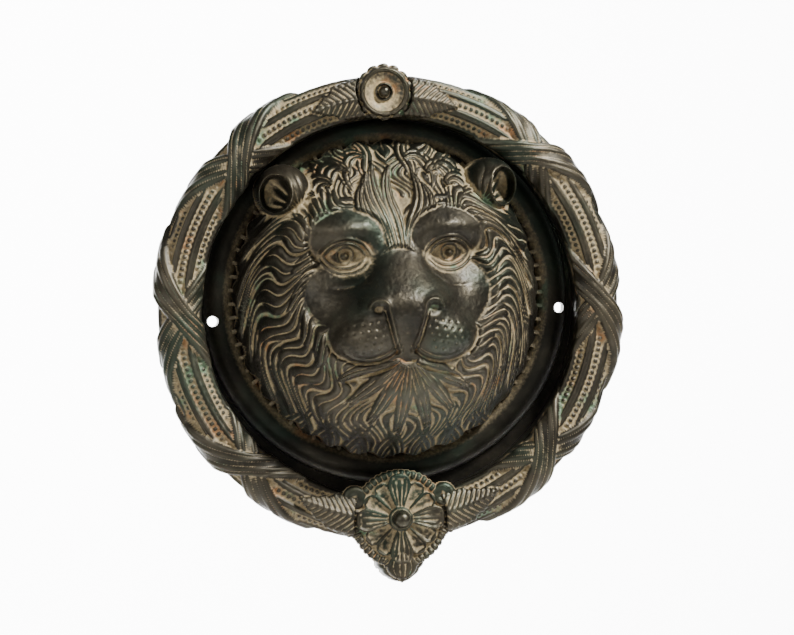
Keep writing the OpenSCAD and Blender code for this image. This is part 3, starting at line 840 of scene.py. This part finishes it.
def make_rosette():
    """A cup with a gadrooned rim round the rivet."""
    turns, lobes, mid_r = 216, 14, 7
    phi = np.arange(turns) * 2 * math.pi / turns
    rho = np.linspace(1.6, 12.0, 44)
    P, R = np.meshgrid(phi, rho, indexing="ij")
    lobe = np.abs(np.sin(P * lobes / 2))
    edge = 10.9 + 1.5 * lobe ** 0.5
    r = R * np.where(R > 9, 1 + (edge / 12.4 - 1) * ease(9, 12.6, R), 1)
    bowl = 1.4 + 3.2 * np.clip(R / 9.3, 0, 1) ** 2.4
    lip = 0.7 * bump(R - 9.2, 0.55)
    rim = np.maximum(4.4 * np.sqrt(np.clip(1 - ((R - 9.9) / 1.3) ** 2, 0, 1)),
                     3.2 * np.sqrt(np.clip(1 - ((R - 10.9) / 2.2) ** 2, 0, 1)) * (0.55 + 0.45 * lobe ** 0.6))
    h = np.where(R < 9.0, bowl, np.maximum(rim, 1.6)) + lip
    h = h + 0.9 * bump(R - 3.4, 0.5) - 0.4 * bump(R - 4.7, 0.6) + 0.1 * value_noise(P * 8, R, 1.3, 41)
    hollow, crest = relief_fields(h, (2 * math.pi * mid_r / turns, rho[1] - rho[0]), (True, False))
    # the bowl's dust is thinner towards the upper right and heavier towards the lower left: painted shade on its
    # upper-right wall and painted light on its lower-left wall, over an even band of real dust
    hollow = np.clip(hollow + (0.34 - 0.14 * np.cos(P - 0.7)) * ease(9.6, 8.0, R) * ease(3.0, 4.5, R), 0, 1)
    top = np.stack([r * np.cos(P), ROSETTE_UP + r * np.sin(P), SEAT_OUT + h], -1)
    low = top[:, [-1, 0]].copy()
    low[..., 2] = SEAT_OUT
    pad = np.full((turns, 2), 0.4)
    return loop_solid("top_rosette_sculpt", np.concatenate([top, low], 1)[:, ::-1],
                      {"hollow": np.concatenate([hollow, pad], 1)[:, ::-1],
                       "crest": np.concatenate([crest, pad * 0], 1)[:, ::-1]})


def petal_height(x, y, start, length, width, rise, ribs):
    """A petal or leaf along +x: an oval with a rib down its middle and veins beside it."""
    t = (x - start) / length
    span = width * np.sqrt(np.clip(np.sin(np.pi * np.clip(t, 0, 1) ** 1.25), 0, 1))
    v = y / np.maximum(span, 0.05)
    inside = (t > 0) & (t < 1) & (np.abs(v) < 1)
    body = rise * (0.55 + 0.45 * np.sqrt(np.clip(1 - v * v, 0, 1))) * (0.8 + 0.3 * np.sin(np.pi * np.clip(t, 0, 1)))
    body = body + 0.6 * strands(np.clip(v, -1, 1), ribs) - 0.4 + 0.6 * bump(y, 0.5)
    return np.where(inside, body, 0)


def spoon_height(x, y, start, length, width, rise, ribs):
    """A petal along +x that widens to a round end, dished between its raised edges, with or without ribs."""
    t = (x - start) / length
    span = width * (0.34 + 0.66 * ease(0, 0.75, t)) * np.sqrt(np.clip(1 - np.clip((t - 0.7) / 0.3, 0, 1) ** 2, 0, 1))
    v = y / np.maximum(span, 0.05)
    inside = (t > 0) & (t < 1) & (np.abs(v) < 1)
    edge = np.maximum(np.abs(v), ease(0.72, 1.0, t))
    floor = 0.62 if ribs else 0.42
    body = rise * (floor + (1 - floor) * edge ** 4) - 0.9 * np.clip(edge - 0.88, 0, None) / 0.12
    if ribs:
        body = body + 0.75 * (bump(v, 0.16) + 0.7 * bump(np.abs(v) - 0.46, 0.12)) * ease(0.95, 0.4, t)
    return np.where(inside, body, 0)


def make_flower():
    """The flower on its pointed shield, with a hole for the striker's shank."""
    m = Relief(28, FLOWER_UP - 30, FLOWER_UP + 26, 0.32, 0)
    x, y = m.X, m.Z - FLOWER_UP
    rho, phi = np.hypot(x, y), np.arctan2(y, x)
    # ground: a disc that runs down to a point, both with a fringed border
    tip_y, slope, reach = -27.2, 1.02, 20.8
    point = np.where(y < -6, ((y - tip_y) * slope - np.abs(x)) / math.hypot(1, slope), -9)
    inset = np.maximum(reach - rho, point)
    fringe = np.where(reach - rho > point, np.abs(np.sin(phi * 24)), np.abs(np.sin((y + 0.6 * np.abs(x)) * 1.5)))
    h = np.where(inset > 0, 1.5 - 0.4 * bump(inset - 5, 3), 0)
    border = 2.6 * np.sqrt(np.clip(1 - ((inset - 1.9) / 1.9) ** 2, 0, 1)) * (0.62 + 0.38 * fringe)
    h = np.maximum(h, np.where(inset > 0.5 - 0.5 * fringe, border, 0))
    h = np.where(inset > 0.5 - 0.5 * fringe, h, 0)
    # a short ribbed leaf down to the point, and lobes at the shoulders
    h = np.maximum(h, petal_height(-(y + 13), x, 0, 12.5, 6.4, 2.9, ribs=5))
    for side in (-1, 1):
        lobe = np.hypot(x - side * 19.0, y - 9.5)
        h = np.where(lobe < 5.3, np.maximum(h, 3.2 * np.sqrt(np.clip(1 - (lobe / 5.3) ** 4, 0, 1))), h)
        h = h - 1.5 * bump(lobe, 2.9) * (lobe < 5.2)
    # pairs of small petals on the diagonals, then the four wide ones over them
    for k in range(4):
        for side in (-1, 1):
            t = math.radians(45 + 90 * k + side * 13.5)
            px, py = x * math.cos(t) + y * math.sin(t), -x * math.sin(t) + y * math.cos(t)
            h = np.maximum(h, spoon_height(px, py, 4, 13.2, 3.7, 3.5, ribs=False))
    for k in range(4):
        t = math.radians(90 * k)
        px, py = x * math.cos(t) + y * math.sin(t), -x * math.sin(t) + y * math.cos(t)
        h = np.maximum(h, spoon_height(px, py, 3.4, 15.6, 5.0, 4.3, ribs=True))
    hub = 5.5 * np.power(np.clip(1 - (rho / 5.4) ** 6, 0, 1), 0.4)
    h = np.maximum(h, np.where(rho < 5.4, hub, 0)) - 0.9 * bump(rho - 4.2, 0.35)
    h = np.where(h > 0.3, h + 0.12 * value_noise(x, y, 1.4, 51), h)
    h = np.where(rho < SHANK_HOLE_R, 0, np.clip(h, 0, None))
    hollow, crest = relief_fields(h, (m.pitch, m.pitch))
    return relief_solid("bottom_flower_sculpt", m.xs, m.ups, SEAT_OUT + h, SEAT_OUT,
                        {"hollow": hollow, "crest": crest}, holed=True)


def make_lifting_leaf():
    """The ring's own thick leaf under the flower's, which the fingers lift."""
    m = Relief(14, FLOWER_UP - 27.4, FLOWER_UP - 2, 0.4, 0)
    x, y = m.X, m.Z - FLOWER_UP
    t = np.clip((-y - 3) / 23.8, 0, 1)
    span = 11.4 * np.sqrt(np.clip(np.sin(np.pi * t), 0, 1)) * (0.93 + 0.07 * np.abs(np.cos(7 * np.pi * t)))
    v = np.abs(x) / np.maximum(span, 0.05)
    thick = (SEAT_OUT - LEAF_BACK) * np.power(np.clip(1 - v ** 8, 0, 1), 0.3)
    h = np.where((v < 1) & (t > 0) & (t < 1), thick, 0)
    hollow, crest = relief_fields(h, (m.pitch, m.pitch))
    return relief_solid("lifting_leaf", m.xs, m.ups, LEAF_BACK + h, LEAF_BACK,
                        {"hollow": hollow * 0.5, "crest": crest})


# ---------- stage, light and camera ----------

def make_stage():
    """A white paper sweep: a floor that curves up into a wall."""
    floor_up, wall_y, radius, half_width = -0.62, 2.4, 0.9, 14.0
    profile = [(-6.0, floor_up), (wall_y - radius, floor_up)]
    for k in range(1, 13):
        a = math.radians(90 * k / 12)
        profile.append((wall_y - radius + radius * math.sin(a), floor_up + radius * (1 - math.cos(a))))
    profile.append((wall_y, 3.5))
    verts = [(x, y, z) for y, z in profile for x in (-half_width, half_width)]
    faces = [(2 * k, 2 * k + 1, 2 * k + 3, 2 * k + 2) for k in range(len(profile) - 1)]
    mesh = bpy.data.meshes.new("studio_sweep")
    mesh.from_pydata(verts, [], faces)
    for p in mesh.polygons:
        p.use_smooth = True
    sweep = bpy.data.objects.new("studio_sweep", mesh)
    bpy.context.scene.collection.objects.link(sweep)
    paper = bpy.data.materials.new("white_paper")
    paper.use_nodes = True
    paper.node_tree.nodes["Principled BSDF"].inputs["Base Color"].default_value = (0.93, 0.93, 0.93, 1)
    paper.node_tree.nodes["Principled BSDF"].inputs["Roughness"].default_value = 0.9
    mesh.materials.append(paper)


def area_light(name, place, target, size, power, spread=180):
    data = bpy.data.lights.new(name, "AREA")
    data.shape = "DISK"
    data.size = size
    data.energy = power
    data.spread = math.radians(spread)
    lamp = bpy.data.objects.new(name, data)
    lamp.location = place
    lamp.rotation_euler = (Vector(target) - Vector(place)).to_track_quat("-Z", "Y").to_euler()
    bpy.context.scene.collection.objects.link(lamp)


def make_lights():
    """White surroundings, a key lamp from the upper right, a weak fill, and three lamps on the paper."""
    world = bpy.data.worlds.new("studio")
    world.use_nodes = True
    world.node_tree.nodes["Background"].inputs[0].default_value = (1, 1, 1, 1)
    world.node_tree.nodes["Background"].inputs[1].default_value = 0.31
    bpy.context.scene.world = world
    area_light("key", (0.62, -0.62, 0.8), (0, 0, 0), 0.2, 54)
    area_light("fill", (-0.9, -0.9, 0.3), (0, 0, 0), 0.7, 9)
    area_light("backdrop_light_high", (0, 0.7, 1.9), (0, 2.2, 0.3), 1.6, 190, spread=100)
    for name, side in (("left", -1), ("right", 1)):
        area_light("backdrop_light_" + name, (side * 2.4, 0.7, 0.5), (side * 0.6, 2.4, 0.2), 1.2, 110, spread=100)


def make_camera():
    """A long lens from slightly left of the front, rolled a little as in the photograph."""
    azimuth, elevation, roll = math.radians(-9), math.radians(0.5), math.radians(2.2)
    distance = 1.5
    image_width, pixel_size = 794, 0.000424
    target = Vector((0.0, -0.013, 0.0))
    level = math.cos(elevation)
    away = Vector((math.sin(azimuth) * level, -math.cos(azimuth) * level, math.sin(elevation)))
    data = bpy.data.cameras.new("camera")
    camera = bpy.data.objects.new("camera", data)
    camera.location = target + away * distance
    look = (-away).to_track_quat("-Z", "Y").to_matrix().to_4x4()
    camera.matrix_world = Matrix.Translation(camera.location) @ look @ Matrix.Rotation(-roll, 4, "Z")
    data.sensor_width = 36
    # at the target's distance a pixel is pixel_size wide
    data.lens = 36 * distance / (image_width * pixel_size)
    data.shift_x = 0.0115
    data.shift_y = -0.0246
    bpy.context.scene.collection.objects.link(camera)
    bpy.context.scene.camera = camera


make_stage()
make_lights()
make_camera()

DARK = patina("patinated_bronze")
# the backplate's finish, its metal darkened as painted shade
PLATE_SHADED_BRONZE = patina("patinated_bronze_plate_shaded", relief=False, plate=True, dust_amount=0.6, shine=0.45)
DUSTY = patina("dusty_bronze", dust_amount=1.2, dust=(0.26, 0.2, 0.1))
GREEN = patina("green_bronze", green_amount=0.85, dust_amount=1.1)
WORN = patina("worn_bronze", relief=False, dust_amount=0.25, shine=0.3)
STEEL = steel("dull_steel")


def place(piece, body, cad_node, finish, slot):
    piece.data.materials.append(finish)
    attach(piece, body)
    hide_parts(cad_node)


place(make_mask(), "door_plate", "lion_mask", DARK, "patinated_bronze")
for make_piece in (make_ring, make_lug, make_lifting_leaf):
    place(make_piece(), "ring", "wreath_ring", DARK, "patinated_bronze")
place(make_rosette(), "ring", "top_rosette", DUSTY, "dusty_bronze")
place(make_flower(), "ring", "bottom_flower", GREEN, "green_bronze")

# CAD nodes whose shapes stay, with a finish of their own
for cad_node, finish in (("backplate", PLATE_SHADED_BRONZE), ("mask_screws", STEEL), ("hinge_pin", STEEL),
                         ("hinge_washers", WORN), ("strike_boss", WORN), ("rosette_rivet", WORN),
                         ("flower_nut", WORN), ("striker", WORN)):
    materials = frame["nodes"][cad_node].data.materials
    materials.clear()
    materials.append(finish)
